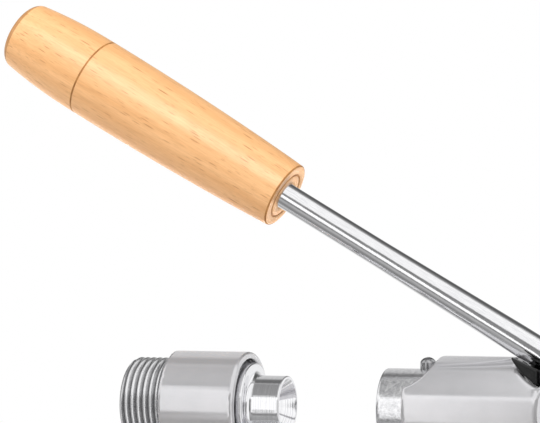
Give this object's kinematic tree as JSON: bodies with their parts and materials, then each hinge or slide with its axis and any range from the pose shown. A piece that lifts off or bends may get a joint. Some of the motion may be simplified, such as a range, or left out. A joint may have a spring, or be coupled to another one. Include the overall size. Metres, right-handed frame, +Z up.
{
  "type": "bench lever nutcracker",
  "caption": "Bench nutcracker on a wooden base: a wood-handled lever drives a round ram towards a cup that a coarse screw adjusts.",
  "frame": {"origin": "on the bench plane under the rubber feet, at the centre of the four bench-screw holes, which is the centre of the wooden base", "axes": "+X along the ram axis from the anvil towards the lever pivot, +Y across the base, +Z up"},
  "size_m": [0.2779, 0.1, 0.2275],
  "materials": {
    "beech_base": "oiled beech, rounded edges",
    "beech_handle": "turned beech under clear satin lacquer",
    "rubber": "matte black",
    "screw_steel": "zinc-plated screw steel",
    "satin_casting": "satin silver, machined on its round outsides",
    "pin_steel": "ground pin steel",
    "spring_steel": "blackened spring steel",
    "bronze": "plain bearing bronze",
    "black_fork": "semi-gloss black over a casting",
    "chrome_rod": "bright chrome over a drawn rod",
    "cast_chrome": "chrome over a granular cast skin",
    "anvil_steel": "bright turned steel",
    "polished_cup": "mirror polished turned cup",
    "brass_insert": "turned brass"
  },
  "bodies": {
    "frame": {"base_board": "beech_base", "rubber_feet": "rubber", "frame_casting": "satin_casting", "frame_bolts": "screw_steel", "frame_washers": "screw_steel", "frame_nuts": "screw_steel", "pivot_pin": "pin_steel", "pivot_circlips": "spring_steel"},
    "lever": {"lever_fork": "black_fork", "pivot_bushes": "bronze", "thrust_washers": "bronze", "lever_rod": "chrome_rod", "rod_lock_pin": "pin_steel", "drive_pin": "pin_steel", "handle": "beech_handle", "handle_insert": "brass_insert"},
    "ram": {"ram_head": "cast_chrome", "ram_tail": "black_fork", "ram_stud": "pin_steel", "ram_stop_screw": "screw_steel"},
    "anvil_cup": {"anvil_cup": "polished_cup", "cup_retaining_ring": "spring_steel"},
    "anvil_screw": {"anvil_screw": "anvil_steel"}
  },
  "joints": [
    {"name": "lever_swing", "type": "hinge", "parent": "frame", "child": "lever", "pos_m": [0.08, 0, 0.09], "axis": [0, 1, 0], "range_deg": [0, 80]},
    {"name": "ram_slide", "type": "slide", "parent": "frame", "child": "ram", "axis": [1, 0, 0], "range_m": [-0.0258, 0]},
    {"name": "anvil_feed", "type": "slide", "parent": "frame", "child": "anvil_cup", "axis": [1, 0, 0], "range_m": [-0.0075, 0.01]},
    {"name": "anvil_turn", "type": "hinge", "parent": "anvil_cup", "child": "anvil_screw", "pos_m": [-0.076, 0, 0.072], "axis": [1, 0, 0], "range_deg": [-1085, 1445]}
  ],
  "couplings": [
    {"joint": "ram_slide", "follows": "lever_swing", "m_per_rad": -0.018415},
    {"joint": "anvil_turn", "follows": "anvil_feed", "rad_per_m": 2513.3}
  ]
}
